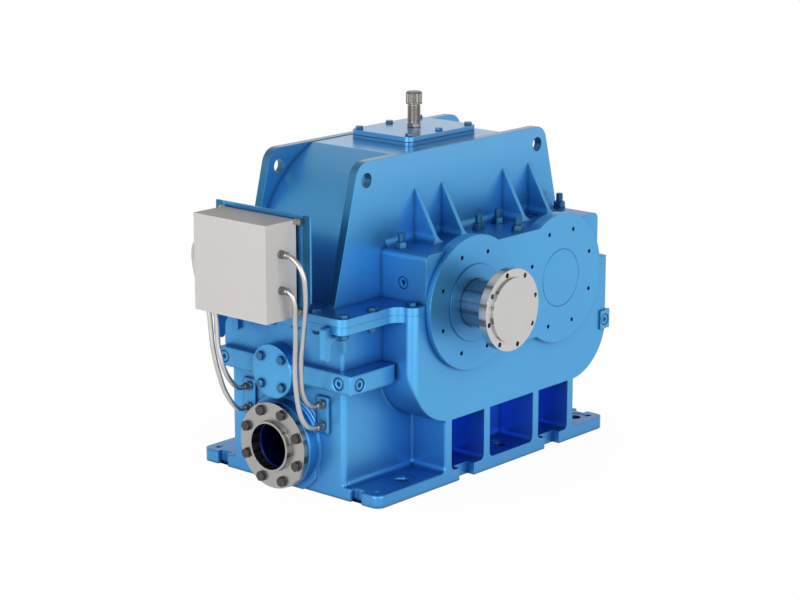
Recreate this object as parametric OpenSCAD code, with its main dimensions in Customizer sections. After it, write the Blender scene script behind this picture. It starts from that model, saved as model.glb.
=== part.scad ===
// High-speed parallel-shaft gearbox. The casing is split at shaft height and carries a terminal box.
// Millimetres. X runs along the bearing housings, the coupling flange looks along -Y, +Z is up.
// The origin is the centre of the base plate's underside.

/* [Base] */
// Length of the base plate along X
base_l = 1190; // [1180:1:1200]
// Width of the base plate along Y
base_w = 792; // [788:1:800]
// Thickness of the base plate
base_t = 42; // [30:1:60]
// Radius of the six foot bolt holes
foot_hole_r = 22.5; // [12:0.5:26]
// Radius of the four jacking screw holes
jack_r = 10; // [6:0.5:14]

/* [Shafts] */
// Height of both shaft axes, which is also the casing's split plane
shaft_z = 594; // [590:1:600]
// X of the wheel shaft
wheel_x = -150; // [-152:1:-148]
// X of the pinion shaft
pinion_x = 305; // [303:1:307]
// Number of teeth on the wheel
wheel_teeth = 105; // [60:1:140]
// Number of teeth on the pinion
pinion_teeth = 35; // [20:1:46]
// Width of the gear faces along Y
face_w = 300; // [150:10:310]
// Radius of the wheel shaft in its bearings
wheel_shaft_r = 78; // [70:1:80]
// Radius of the pinion shaft in its bearings
pinion_shaft_r = 48; // [45:1:52]
// Radius of the high-speed shaft end
drive_end_r = 42.5; // [30:0.5:44]
// Length of the high-speed shaft end outside its cover
drive_end_l = 140; // [80:5:200]

/* [Coupling flange] */
// Outer radius of the coupling flange
flange_r = 134; // [130:1:150]
// Radius of the coupling bolt circle
flange_bc = 120; // [117:1:122]
// Radius of the eight coupling bolt holes
flange_hole_r = 8; // [5:0.5:9]
// Turn of the bolt circle about the shaft at rest, in degrees
flange_turn = -8.9; // [-22.5:0.1:22.5]

/* [Casing] */
// Thickness of the walls
wall_t = 20; // [14:1:24]
// Height of the top of the bearing shelf
shelf_z = 781; // [770:1:800]
// Height of the roof between the lifting plates
roof_z = 1066; // [1050:1:1070]
// Radius of the lifting holes
lift_r = 24; // [12:1:30]
// Radius of the round bearing covers
cover_r = 221; // [210:1:224]
// Thickness of the round bearing covers
cover_t = 20; // [16:1:30]

/* [Oil outlet] */
// Height of the outlet's axis
outlet_z = 147; // [147:1:155]
// Outer radius of the outlet flange
outlet_r = 142.5; // [138:0.5:144]
// Radius of the outlet's bore
outlet_bore = 76; // [50:1:78]
// Radius of the outlet's bolt circle
outlet_bc = 120; // [116:1:122]

/* [Terminal box] */
// Width of the box along Y
box_w = 314; // [300:1:320]
// Height of the box
box_h = 311; // [300:1:311]
// Radius of the conduits
conduit_r = 8.5; // [6:0.5:9]

/* [Hidden] */
$fn = 64;
fit = 0.05;
half_l = base_l / 2;
half_w = base_w / 2;
face_y = half_w + cover_t;
gear_m = 2 * (pinion_x - wheel_x) / (wheel_teeth + pinion_teeth);
tip_h = 0.95 * gear_m;
wheel_tip_r = wheel_teeth * gear_m / 2 + tip_h;
wall_y = 250;
neck_x = half_l + 20;
neck_y = wall_y + 14;
belt_x = half_l + 50;
belt_y = 328;
belt_z0 = shaft_z - 225;
belt_z1 = shaft_z - 162;
joint_x0 = -half_l - 89;
joint_x1 = half_l + 60;
joint_z0 = shaft_z - 25;
joint_z1 = shaft_z + 26;
housing_x0 = 165 - half_l;
housing_x1 = half_l - 2;
housing_z0 = shaft_z - 379;
housing_r = 195;
shelf_x0 = wheel_x - 218;
shelf_x1 = pinion_x + 229;
web_z0 = shaft_z - 181;
plate_y0 = 176;
plate_y1 = plate_y0 + 30;
plate_x = half_l - 7;
plate_top = roof_z + 2;
plate_lean = 14.4;
cowl_x = 98;
cowl_r = wheel_tip_r + 110.6;
cowl_z = roof_z + 37 - cowl_r;
cowl_lean = 11.6;
cast_r = 25;
foot_xs = [187 - half_l, 92, half_l - 83];
foot_y = half_w - 68;
jack_x = half_l - 39;
jack_y = half_w - 40;
rib_xs = [-253, -57, 203, 395];
seam_x = (wheel_x + pinion_x) / 2;
gusset_xs = [-198, -64, 255, 393];
gusset_y = half_w - 93;
stud_xy = [[-329, 259], [53, 263], [169, 250], [515, 245], [116, half_w - 19]];
end_bolt_x = joint_x0 + 33;
through_bolts = [
  [joint_x0 + 30, -304], [joint_x0 + 30, 304], [joint_x0 + 159, -308], [joint_x0 + 159, 308],
  [end_bolt_x, -188], [end_bolt_x, 245], [joint_x1 - 20, -188], [joint_x1 - 20, 0], [joint_x1 - 20, 188],
  [joint_x1 - 25, -302], [joint_x1 - 25, 302]
];
bracket_ys = [-100, 0, 100];
plug_ys = [-272, 234];
housing_screws = [for (t = [-1, 1]) [housing_x0 + 34, t * (half_w - 37)]];
spray_x = pinion_x - 105;
spray_z = shaft_z + 165;
shelf_plug = [pinion_x + 30, -262];
hatch_x = 30;
hatch_open = [124, 88];
hatch_xy = [for (dx = [-151, 0, 151]) for (y = [-109, 109]) [hatch_x + dx, y]];
bolt_r = 10;
stud_r = 12;
wheel_bush_r = wheel_shaft_r + 27;
pinion_bush_r = pinion_shaft_r + 27;
bush_y = half_w - 16;
seal_bore_r = wheel_shaft_r + 22;
wheel_hub_r = wheel_shaft_r + 32;
pinion_seal_r = pinion_shaft_r + 22;
seal_journal_r = drive_end_r + 1.5;
screw_bc = cover_r - 51;
flange_y0 = -half_w - 175;
flange_y1 = flange_y0 + 30;
end_plate_bc = flange_bc - 26;
port_z = belt_z0 + 25;
port_bc = 64.4;
gland_y = 163;
gland_zs = [232, 304];
boss_x = -half_l - 49;
box_x0 = joint_x0 - 158;
box_xm = joint_x0 - 60;
box_x1 = joint_x0 - 22;
box_z0 = shaft_z + 14;
box_gland_zs = [box_z0 + 98, box_z0 + 212];
box_gland_x = joint_x0 - 92;
lug_y = box_w / 2 + 8;
lug_zs = [box_z0 + 18, box_z0 + box_h - 7];
bracket_x0 = joint_x0 - 12;
bracket_x1 = joint_x0 - 4;

// Points along each conduit, from the terminal box to the end wall.
route_a = [[-776, -171, 820], [-776, -186, 820], [-775, -208, 813], [-770, -231, 790], [-764, -243, 755],
  [-758, -242, 720], [-750, -236, 675], [-743, -226, 630], [-736, -214, 582], [-730, -202, 530],
  [-723, -189, 480], [-712, -178, 425], [-700, -169, 372], [-678, -165, 330], [-652, -163, 307],
  [-632, -163, 304], [-617, -163, 304]];
route_b = [[-776, -171, 706], [-776, -188, 706], [-773, -202, 693], [-767, -207, 662], [-759, -200, 615],
  [-750, -193, 567], [-741, -183, 520], [-733, -173, 476], [-727, -166, 425], [-720, -163, 374],
  [-710, -161, 325], [-698, -162, 284], [-676, -163, 250], [-652, -163, 235], [-632, -163, 232],
  [-617, -163, 232]];
route_c = [[-776, 171, 820], [-776, 186, 820], [-775, 208, 812], [-772, 228, 788], [-768, 236, 752],
  [-763, 234, 708], [-757, 224, 660], [-750, 208, 615], [-745, 196, 572], [-742, 193, 520],
  [-739, 190, 465], [-734, 187, 430], [-729, 184, 398], [-718, 179, 352], [-704, 174, 308],
  [-684, 166, 268], [-656, 163, 238], [-632, 163, 232], [-617, 163, 232]];
route_d = [[-776, 171, 706], [-776, 188, 706], [-773, 200, 692], [-764, 202, 658], [-753, 190, 622],
  [-741, 180, 588], [-735, 174, 560], [-733, 172, 515], [-732, 171, 467], [-729, 166, 435],
  [-724, 161, 403], [-712, 158, 370], [-694, 158, 343], [-668, 160, 316], [-650, 162, 306],
  [-632, 163, 304], [-617, 163, 304]];

blue = [0.20, 0.52, 0.80];
steel = [0.76, 0.76, 0.77];
dark = [0.28, 0.28, 0.30];
bronze = [0.72, 0.60, 0.35];
box_grey = [0.81, 0.80, 0.79];

// Extrudes a front view, drawn in X and Z, from y0 to y1.
module xz(y0, y1) {
  translate([0, y1, 0]) rotate([90, 0, 0]) linear_extrude(y1 - y0) children();
}

// Extrudes an end view, drawn in Y and Z, from x0 to x1.
module yz(x0, x1) {
  translate([x0, 0, 0]) rotate([90, 0, 90]) linear_extrude(x1 - x0) children();
}

module ycyl(x, z, y0, y1, r) {
  translate([x, y1, z]) rotate([90, 0, 0]) cylinder(h = y1 - y0, r = r);
}

module xcyl(y, z, x0, x1, r) {
  translate([x0, y, z]) rotate([0, 90, 0]) cylinder(h = x1 - x0, r = r);
}

module block(x0, x1, y0, y1, z0, z1) {
  translate([x0, y0, z0]) cube([x1 - x0, y1 - y0, z1 - z0]);
}

module round_rect(x0, x1, y0, y1, r) {
  translate([x0 + r, y0]) square([x1 - x0 - 2 * r, y1 - y0]);
  translate([x0, y0 + r]) square([x1 - x0, y1 - y0 - 2 * r]);
  for (x = [x0 + r, x1 - r]) for (y = [y0 + r, y1 - r]) translate([x, y]) circle(r = r);
}

// Fills an inner corner at the origin that opens towards +X and +Y.
module corner_fill(r) {
  difference() {
    translate([-1, -1]) square(r + 1);
    translate([r, r]) circle(r = r);
  }
}

module front_and_rear() {
  children();
  mirror([0, 1, 0]) children();
}

module ring_y(x, z, r, count, turn) {
  for (i = [0 : count - 1]) {
    a = turn + i * 360 / count;
    translate([x + r * cos(a), 0, z + r * sin(a)]) children();
  }
}

module ring_x(z, r, count, turn) {
  for (i = [0 : count - 1]) {
    a = turn + i * 360 / count;
    translate([0, r * cos(a), z + r * sin(a)]) children();
  }
}

module hex_head(h, af) {
  cylinder(h = h, r = af / 2 / cos(30), $fn = 6);
}

// A hexagon bolt whose head sits at the origin and whose shank points along -Z.
module hex_bolt(r, l, h, af) {
  hex_head(h, af);
  translate([0, 0, -l]) cylinder(h = l + 1, r = r);
}

// Plan of the bearing housings, with round corners at the left.
module housing_plan() {
  round_rect(housing_x0, 500, -half_w, half_w, 30);
  round_rect(400, housing_x1, -half_w, half_w, 8);
}

// Plan of the flanges at the split plane.
module joint_plan() {
  round_rect(joint_x0, joint_x1, -belt_y, belt_y, 26);
  housing_plan();
  front_and_rear() {
    translate([housing_x0, belt_y]) mirror([1, 0]) corner_fill(40);
    translate([housing_x1, belt_y]) corner_fill(20);
  }
}

module base_plan() {
  difference() {
    round_rect(-half_l, half_l, -half_w, half_w, 30);
    for (s = [-1, 1]) for (t = [-1, 1]) {
      translate([s * half_l, t * (half_w - 96.5)]) square([46, 47], center = true);
    }
    for (t = [-1, 1]) {
      translate([-160.5, t * half_w]) square([75, 56], center = true);
      translate([295.5, t * half_w]) square([81, 56], center = true);
    }
    for (t = [-1, 1]) {
      for (x = foot_xs) translate([x, t * foot_y]) circle(r = foot_hole_r);
      for (s = [-1, 1]) translate([s * jack_x, t * jack_y]) circle(r = jack_r);
    }
  }
}

// Plan of the hatch in the roof, d mm inside its edge.
module hatch_plan(d) {
  round_rect(hatch_x - 174 + d, hatch_x + 174 - d, d - 132, 132 - d, 25 - d);
}

// Front view of a rib, with its root fillets on the base plate.
module rib_2d(x) {
  translate([x - 15, base_t - 2]) square([30, housing_z0 + 20 - base_t]);
  translate([x + 15, base_t]) corner_fill(18);
  translate([x - 15, base_t]) mirror([1, 0]) corner_fill(18);
}

// Front view of the lower bearing housing.
module housing_2d() {
  intersection() {
    round_rect(housing_x0, housing_x1, housing_z0, 1200, housing_r);
    translate([-700, 0]) square([1400, shaft_z]);
  }
}

// Front view of a hook under the split flange, open downwards.
module hook_2d() {
  translate([joint_x0, shaft_z]) difference() {
    union() {
      round_rect(-28, 44, -94, -2, 16);
      translate([24, -99]) square([50, 97]);
      translate([-28, -98]) square([28, 30]);
      translate([-14, -98]) circle(r = 14);
    }
    translate([28, -74]) circle(r = 28);
    translate([0, -124]) square([56, 50]);
  }
}

module shaft_bores() {
  front_and_rear() {
    ycyl(wheel_x, shaft_z, -face_y - 4, 80 - wall_y, wheel_bush_r + fit);
    ycyl(pinion_x, shaft_z, -face_y - 4, 80 - wall_y, pinion_bush_r + fit);
    for (x = [wheel_x, pinion_x]) ring_y(x, shaft_z, screw_bc, 8, 22.5) {
      ycyl(0, 0, -face_y - 4, 30 - half_w, 4 + fit);
    }
  }
}

module dowel_holes() {
  for (x = [-half_l - 1, half_l + 5]) translate([x, 308, joint_z0 - 9]) cylinder(h = 80, r = 8 + fit);
}

module lower_casing() {
  color(blue) difference() {
    union() {
      linear_extrude(base_t) base_plan();
      linear_extrude(belt_z1) round_rect(-half_l, half_l, -wall_y, wall_y, 15);
      translate([0, 0, belt_z1 - 1]) linear_extrude(shaft_z - belt_z1) {
        round_rect(-neck_x, neck_x, -neck_y, neck_y, 10);
      }
      translate([0, 0, joint_z0]) linear_extrude(shaft_z - joint_z0) joint_plan();
      intersection() {
        front_and_rear() xz(-half_w, 1 - wall_y) housing_2d();
        translate([0, 0, 100]) linear_extrude(600) housing_plan();
      }
      // Root fillets of the long walls on the base plate.
      front_and_rear() yz(16 - half_l, half_l - 16) {
        translate([-wall_y, base_t]) mirror([1, 0]) corner_fill(18);
      }
      front_and_rear() for (x = rib_xs) xz(-half_w, 1 - wall_y) rib_2d(x);
      // Oil gallery bars with plugged ends.
      block(-belt_x, 5 - half_l, -belt_y, wall_y, belt_z0, belt_z1);
      block(-belt_x, housing_x0 - 10, -belt_y, 1 - wall_y, belt_z0, belt_z1);
      block(half_l - 40, half_l + 11, -half_w - 6, half_w + 6, belt_z0 - 7, belt_z1 - 4);
      // Bosses on the end wall for the oil outlet and the round port.
      xcyl(0, outlet_z, boss_x, 1 - half_l, outlet_r + 1.5);
      intersection() {
        xcyl(0, outlet_z, -half_l - 8, 1 - half_l, outlet_r + 22.5);
        block(boss_x, 0, 29 - gland_y, gland_y - 29, 0, 400);
      }
      xcyl(0, port_z, -belt_x - 1, 1 - half_l, 87);
      xz(-280, -257) hook_2d();
      xz(185, 208) hook_2d();
    }
    // Sump and gear space.
    block(wall_t - half_l, half_l - wall_t, wall_t - wall_y, wall_y - wall_t, base_t - 14, shaft_z + 1);
    shaft_bores();
    dowel_holes();
    xcyl(0, outlet_z, boss_x - 10, 95 - half_l, outlet_bore - 2);
    ring_x(outlet_z, outlet_bc, 8, 22.5) xcyl(0, 0, boss_x - 10, -half_l - 9, bolt_r + fit);
    xcyl(0, port_z, -belt_x - 10, 95 - half_l, 45);
    ring_x(port_z, port_bc, 4, 45) xcyl(0, 0, -belt_x - 10, -half_l - 15, 6 + fit);
    for (t = [-1, 1]) for (z = gland_zs) xcyl(t * gland_y, z, -half_l - 20, 95 - half_l, 10);
    for (x = foot_xs) for (t = [-1, 1]) translate([x, t * foot_y, base_t - 1.5]) cylinder(h = 3, r = 46);
    for (p = through_bolts) translate([p[0], p[1], joint_z0 - 9]) cylinder(h = 60, r = bolt_r + 0.5);
    for (y = bracket_ys) translate([end_bolt_x, y, joint_z0 - 9]) cylinder(h = 60, r = bolt_r + 0.5);
    for (p = housing_screws) translate([p[0], p[1], shaft_z - 64]) cylinder(h = 90, r = bolt_r + 0.5);
    for (t = [-1, 1]) for (p = stud_xy) translate([p[0], t * p[1], shaft_z - 84]) {
      cylinder(h = 90, r = stud_r + 0.5);
    }
    for (y = plug_ys) xcyl(y, belt_z0 + 30, -belt_x - 15, 15 - belt_x, 20 + fit);
    ycyl(40.5 - belt_x, belt_z0 + 29, -belt_y - 12, 15 - belt_y, 20 + fit);
    front_and_rear() ycyl(half_l - 15, belt_z0 + 25, -half_w - 14, 9 - half_w, 20 + fit);
  }
}

// Front view of a lifting plate, with sloping ends and round top corners.
module lift_plate_2d() {
  r = 56;
  cz = plate_top - r;
  cx = plate_x - (r + sin(plate_lean) * (cz - joint_z1)) / cos(plate_lean);
  ex = cx + r * cos(plate_lean);
  ez = cz + r * sin(plate_lean);
  difference() {
    union() {
      polygon([[-plate_x, joint_z1 - 20], [plate_x, joint_z1 - 20], [plate_x, joint_z1], [ex, ez], [cx, cz],
        [cx, plate_top], [-cx, plate_top], [-cx, cz], [-ex, ez], [-plate_x, joint_z1]]);
      for (s = [-1, 1]) translate([s * cx, cz]) circle(r = r);
    }
    for (s = [-1, 1]) translate([s * (plate_x - 153), plate_top - 61]) circle(r = lift_r);
  }
}

// Front view of the cowl between the lifting plates, d mm inside its outer surface.
// Its slopes lie 0.2 mm inside the round part, so that they cross it and leave no sliver.
module cowl_2d(d) {
  r = cowl_r - d;
  tx = cowl_x + (r - 0.2) * cos(cowl_lean);
  tz = cowl_z + (r - 0.2) * sin(cowl_lean);
  fz = shaft_z - 14;
  fx = tx + (tz - fz) * tan(cowl_lean);
  intersection() {
    union() {
      for (s = [-1, 1]) translate([s * cowl_x, cowl_z]) circle(r = r, $fn = 128);
      translate([-cowl_x, fz]) square([2 * cowl_x, cowl_z + r - fz]);
      polygon([[-tx, tz], [tx, tz], [fx, fz], [-fx, fz]]);
    }
    translate([-700, fz]) square([1400, roof_z - d - fz]);
  }
}

// Front view of the bearing shelf, the upper half of the housing.
module shelf_2d() {
  intersection() {
    round_rect(shelf_x0, shelf_x1, joint_z1 - 120, shelf_z, 22);
    translate([-700, joint_z1 - 10]) square([1400, 400]);
  }
  polygon([[shelf_x1 - 5, joint_z1 - 10], [shelf_x1 + 19, joint_z1 - 10], [shelf_x1 + 19, joint_z1],
    [shelf_x1, joint_z1 + 44], [shelf_x1 - 5, joint_z1 + 44]]);
}

// End view of a gusset, from the shelf up the lifting plate.
module gusset_2d() {
  polygon([[1 - plate_y1, shelf_z - 1], [-gusset_y, shelf_z - 1], [-gusset_y, shelf_z],
    [-plate_y1, shelf_z + 169], [1 - plate_y1, shelf_z + 169]]);
}

// The root fillets of the shelf, of one face.
module shelf_fillets() {
  yz(shelf_x0 + 22, shelf_x1 - 22) translate([-plate_y1, shelf_z]) mirror([1, 0]) corner_fill(cast_r);
  for (x = gusset_xs) intersection() {
    xz(-gusset_y, 1 - plate_y1) translate([x, shelf_z]) {
      translate([7.5, 0]) corner_fill(cast_r);
      mirror([1, 0]) translate([7.5, 0]) corner_fill(cast_r);
    }
    yz(x - 50, x + 50) gusset_2d();
  }
}

module upper_casing() {
  color(blue) difference() {
    union() {
      translate([0, 0, shaft_z]) linear_extrude(joint_z1 - shaft_z) joint_plan();
      front_and_rear() {
        xz(-plate_y1, -plate_y0) lift_plate_2d();
        xz(-half_w, 1 - plate_y1) shelf_2d();
        for (x = [wheel_x, pinion_x]) ycyl(x, shaft_z, -half_w, 26 - half_w, cover_r - 3);
        for (x = gusset_xs) yz(x - 7.5, x + 7.5) gusset_2d();
        shelf_fillets();
      }
      xz(-plate_y0 - 1, plate_y0 + 1) cowl_2d(0);
      translate([0, 0, roof_z - 1]) linear_extrude(13) hatch_plan(0);
    }
    block(-800, 800, -500, 500, 0, shaft_z);
    xz(-plate_y0, plate_y0) cowl_2d(18);
    shaft_bores();
    dowel_holes();
    translate([hatch_x - hatch_open[0], -hatch_open[1], roof_z - 40]) linear_extrude(80) square(2 * hatch_open);
    for (p = hatch_xy) translate([p[0], p[1], roof_z - 16]) cylinder(h = 40, r = 6 + fit);
    for (p = concat(through_bolts, housing_screws)) translate([p[0], p[1], joint_z1 - 30]) {
      cylinder(h = 60, r = bolt_r + 0.5);
      translate([0, 0, 28]) cylinder(h = 10, r = 21);
    }
    for (y = bracket_ys) translate([end_bolt_x, y, joint_z1 - 30]) cylinder(h = 60, r = bolt_r + 0.5);
    for (t = [-1, 1]) for (p = stud_xy) translate([p[0], t * p[1], joint_z1 - 30]) {
      cylinder(h = shelf_z - joint_z1 + 60, r = stud_r + 0.5);
      translate([0, 0, shelf_z - joint_z1 + 29]) cylinder(h = 40, r = 23);
    }
    front_and_rear() {
      xcyl(-300, shaft_z + 86, shelf_x0 - 32, shelf_x0 + 15, 20 + fit);
      translate([shelf_plug[0], shelf_plug[1], shelf_z - 11]) cylinder(h = 12, r = 24 + fit);
    }
  }
}

module joint_bolts() {
  color(blue) {
    for (p = through_bolts) translate([p[0], p[1], joint_z1 - 2]) {
      hex_bolt(bolt_r, 70, 13, 30);
      translate([0, 0, joint_z0 - joint_z1 - 14]) hex_head(16, 30);
    }
    for (p = housing_screws) translate([p[0], p[1], joint_z1 - 2]) hex_bolt(bolt_r, 78, 13, 30);
  }
}

module bearing_studs() {
  color(blue) for (t = [-1, 1]) for (p = stud_xy) translate([p[0], t * p[1], 0]) {
    translate([0, 0, shaft_z - 74]) cylinder(h = shelf_z - shaft_z + 123, r = stud_r);
    translate([0, 0, shelf_z - 1]) hex_head(22, 35);
  }
}

module dowel_pins() {
  color(steel) for (x = [-half_l - 1, half_l + 5]) translate([x, 308, joint_z0 - 4]) cylinder(h = 62, r = 8);
}

module hatch_cover() {
  color(blue) difference() {
    translate([0, 0, roof_z + 14]) linear_extrude(16) hatch_plan(0);
    for (p = hatch_xy) translate([p[0], p[1], roof_z]) cylinder(h = 60, r = 6.5);
    translate([hatch_x, 0, roof_z]) cylinder(h = 60, r = 13 + fit);
  }
}

module hatch_gasket() {
  color(dark) translate([0, 0, roof_z + 12]) linear_extrude(2) difference() {
    hatch_plan(1);
    translate([hatch_x - hatch_open[0], -hatch_open[1]]) square(2 * hatch_open);
    for (p = hatch_xy) translate(p) circle(r = 6.5);
  }
}

module hatch_bolts() {
  color(blue) for (p = hatch_xy) translate([p[0], p[1], roof_z + 30]) hex_bolt(6, 40, 10, 22);
}

module breather_body() {
  color(steel) translate([hatch_x, 0, roof_z + 30]) {
    translate([0, 0, -15]) cylinder(h = 16, r = 13);
    hex_head(14, 41);
    translate([0, 0, 13]) cylinder(h = 65, r = 19.5);
    for (i = [0 : 8]) translate([0, 0, 20 + i * 6]) cylinder(h = 3, r = 22);
  }
}

module breather_cap() {
  color(steel) translate([hatch_x, 0, roof_z + 108]) difference() {
    union() {
      cylinder(h = 42, r = 27.5);
      translate([0, 0, 42]) cylinder(h = 6, r1 = 27.5, r2 = 22);
    }
    for (i = [0 : 11]) rotate([0, 0, i * 30]) translate([30, 0, 6]) cylinder(h = 50, r = 5, $fn = 24);
  }
}

// The screw holes of a bearing cover on the front face, with room for sunk heads.
module cover_holes(x) {
  ring_y(x, shaft_z, screw_bc, 8, 22.5) {
    ycyl(0, 0, -face_y - 14, 16 - half_w, 4.5);
    ycyl(0, 0, -face_y - 14, 9 - face_y, 7);
  }
}

// A bearing cover on the front face. Its web reaches from x0 to x1 and meets the other cover's web.
module disc_cover(x, x0, x1) {
  difference() {
    union() {
      ycyl(x, shaft_z, -face_y, -half_w, cover_r);
      if (x1 > x0) block(x0, x1, -face_y, -half_w, web_z0, shelf_z);
    }
    cover_holes(x);
  }
}

module wheel_cover_front() {
  color(blue) difference() {
    disc_cover(wheel_x, wheel_x, seam_x);
    ycyl(wheel_x, shaft_z, -face_y - 14, 16 - half_w, seal_bore_r);
  }
}

module wheel_seal_ring() {
  color(blue) difference() {
    union() {
      ycyl(wheel_x, shaft_z, -face_y - 4, -face_y, seal_bore_r + 26);
      ycyl(wheel_x, shaft_z, -face_y - 1, 4 - half_w, seal_bore_r - fit);
    }
    ycyl(wheel_x, shaft_z, -face_y - 14, 16 - half_w, wheel_shaft_r + 0.5);
  }
}

module pinion_cover_front() {
  color(blue) difference() {
    disc_cover(pinion_x, seam_x, pinion_x);
    difference() {
      ycyl(pinion_x, shaft_z, -face_y - 14, 1.2 - face_y, 99);
      ycyl(pinion_x, shaft_z, -face_y - 24, 16 - face_y, 97);
    }
  }
}

module wheel_cover_rear() {
  color(blue) mirror([0, 1, 0]) disc_cover(wheel_x, 0, 0);
}

module pinion_cover_rear() {
  color(blue) mirror([0, 1, 0]) difference() {
    disc_cover(pinion_x, 0, 0);
    ycyl(pinion_x, shaft_z, -face_y - 14, 16 - half_w, pinion_seal_r);
  }
}

module pinion_seal_ring() {
  color(blue) difference() {
    union() {
      ycyl(pinion_x, shaft_z, face_y, face_y + 4, pinion_seal_r + 25);
      ycyl(pinion_x, shaft_z, half_w - 4, face_y + 1, pinion_seal_r - fit);
    }
    ycyl(pinion_x, shaft_z, half_w - 16, face_y + 14, seal_journal_r + 0.5);
  }
}

module bearing_cover_screws() {
  color(dark) front_and_rear() for (x = [wheel_x, pinion_x]) ring_y(x, shaft_z, screw_bc, 8, 22.5) {
    translate([0, 9 - face_y, 0]) rotate([90, 0, 0]) difference() {
      union() {
        cylinder(h = 8, r = 6.5);
        translate([0, 0, -36]) cylinder(h = 37, r = 4);
      }
      translate([0, 0, 4]) cylinder(h = 5, r = 3.5, $fn = 6);
    }
  }
}

module bush(x, r_out, r_in) {
  color(bronze) difference() {
    ycyl(x, shaft_z, -bush_y, -wall_y - 20, r_out);
    ycyl(x, shaft_z, -bush_y - 10, -wall_y - 10, r_in);
  }
}

module wheel_bearing_front() {
  bush(wheel_x, wheel_bush_r, wheel_shaft_r + 0.06);
}

module wheel_bearing_rear() {
  mirror([0, 1, 0]) bush(wheel_x, wheel_bush_r, wheel_shaft_r + 0.06);
}

module pinion_bearing_front() {
  bush(pinion_x, pinion_bush_r, pinion_shaft_r + 0.05);
}

module pinion_bearing_rear() {
  mirror([0, 1, 0]) bush(pinion_x, pinion_bush_r, pinion_shaft_r + 0.05);
}

module outlet_flange() {
  color(steel) difference() {
    union() {
      xcyl(0, outlet_z, boss_x - 22, boss_x, outlet_r);
      xcyl(0, outlet_z, boss_x - 40, boss_x - 16, outlet_bore + 8);
    }
    xcyl(0, outlet_z, boss_x - 56, boss_x + 44, outlet_bore);
    ring_x(outlet_z, outlet_bc, 8, 22.5) xcyl(0, 0, boss_x - 56, boss_x + 44, bolt_r + 1);
  }
}

module outlet_bolts() {
  color(dark) ring_x(outlet_z, outlet_bc, 8, 22.5) {
    translate([boss_x - 22, 0, 0]) rotate([0, -90, 0]) hex_bolt(bolt_r, 58, 13, 30);
  }
}

module port_cover() {
  color(blue) difference() {
    xcyl(0, port_z, -belt_x - 19, -belt_x - 1, 89);
    ring_x(port_z, port_bc, 4, 45) xcyl(0, 0, -belt_x - 55, 45 - belt_x, 6.5);
  }
}

module port_bolts() {
  color(blue) ring_x(port_z, port_bc, 4, 45) {
    translate([-belt_x - 19, 0, 0]) rotate([0, -90, 0]) hex_bolt(6, 50, 11, 26);
  }
}

module gland_plates() {
  color(blue) for (t = [-1, 1]) difference() {
    yz(-half_l - 8, -half_l) round_rect(t * gland_y - 28, t * gland_y + 28, 207, 330, 8);
    for (z = gland_zs) xcyl(t * gland_y, z, -half_l - 25, 15 - half_l, 10);
  }
}

// A cable gland that points along -X, with its seat at the origin.
module gland() {
  rotate([0, -90, 0]) difference() {
    union() {
      translate([0, 0, -18]) cylinder(h = 19, r = 9.6);
      hex_head(8, 26);
      translate([0, 0, 7]) cylinder(h = 12, r = 12);
      translate([0, 0, 18]) hex_head(10, 24);
    }
    translate([0, 0, -20]) cylinder(h = 60, r = 6);
    translate([0, 0, 14]) cylinder(h = 20, r = conduit_r + 0.8);
  }
}

module casing_glands() {
  color(steel) for (t = [-1, 1]) for (z = gland_zs) translate([-half_l - 8, t * gland_y, z]) gland();
}

module bracket_plate() {
  color(blue) difference() {
    union() {
      yz(bracket_x0, bracket_x1) polygon([[-lug_y - 5, box_z0], [lug_y + 5, box_z0],
        [lug_y + 40, box_z0 + 48], [lug_y + 40, box_z0 + box_h + 13], [-lug_y - 40, box_z0 + box_h + 13],
        [-lug_y - 40, box_z0 + 48]]);
      block(bracket_x1 - 1, joint_x0 + 56, -140, 140, joint_z1, joint_z1 + 8);
    }
    for (y = bracket_ys) translate([end_bolt_x, y, joint_z1 - 20]) cylinder(h = 60, r = bolt_r + 0.5);
    for (t = [-1, 1]) for (z = lug_zs) xcyl(t * lug_y, z, bracket_x0 - 14, bracket_x1 + 8, 4 + fit);
  }
}

module bracket_bolts() {
  color(blue) for (y = bracket_ys) translate([end_bolt_x, y, joint_z1 + 8]) {
    hex_bolt(bolt_r, 80, 13, 30);
    translate([0, 0, joint_z0 - joint_z1 - 8 - 16]) hex_head(16, 30);
  }
}

module terminal_base() {
  half = box_w / 2 - 1;
  color(box_grey) difference() {
    union() {
      block(box_xm, box_x1, -half, half, box_z0 + 1, box_z0 + box_h - 1);
      for (t = [-1, 1]) for (z = lug_zs) {
        yz(box_x1 - 6, box_x1) round_rect(t * lug_y - 12, t * lug_y + 12, z - 9, z + 9, 6);
        xcyl(t * lug_y, z, box_x1 - 1, bracket_x0, 7);
      }
    }
    block(box_xm - 1, box_x1 - 3, 3 - half, half - 3, box_z0 + 4, box_z0 + box_h - 4);
    for (t = [-1, 1]) for (z = lug_zs) xcyl(t * lug_y, z, box_xm - 16, bracket_x1 + 8, 4.5);
  }
}

module terminal_hood() {
  half = box_w / 2;
  color(box_grey) difference() {
    block(box_x0, box_xm, -half, half, box_z0, box_z0 + box_h);
    block(box_x0 + 3, box_xm + 1, 3 - half, half - 3, box_z0 + 3, box_z0 + box_h - 3);
    for (z = box_gland_zs) ycyl(box_gland_x, z, -half - 43, half + 43, 10);
  }
}

module terminal_rail() {
  color(steel) {
    block(box_x1 - 10, box_x1 - 3, -115, 115, box_z0 + 138, box_z0 + 173);
    for (i = [0 : 9]) block(box_xm - 14, box_x1 - 9, i * 20 - 98, i * 20 - 82, box_z0 + 130, box_z0 + 181);
  }
}

module terminal_screws() {
  color(dark) for (t = [-1, 1]) for (z = lug_zs) {
    translate([box_x1 - 6, t * lug_y, z]) rotate([0, -90, 0]) hex_bolt(4, 26, 6, 13);
  }
}

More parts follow.
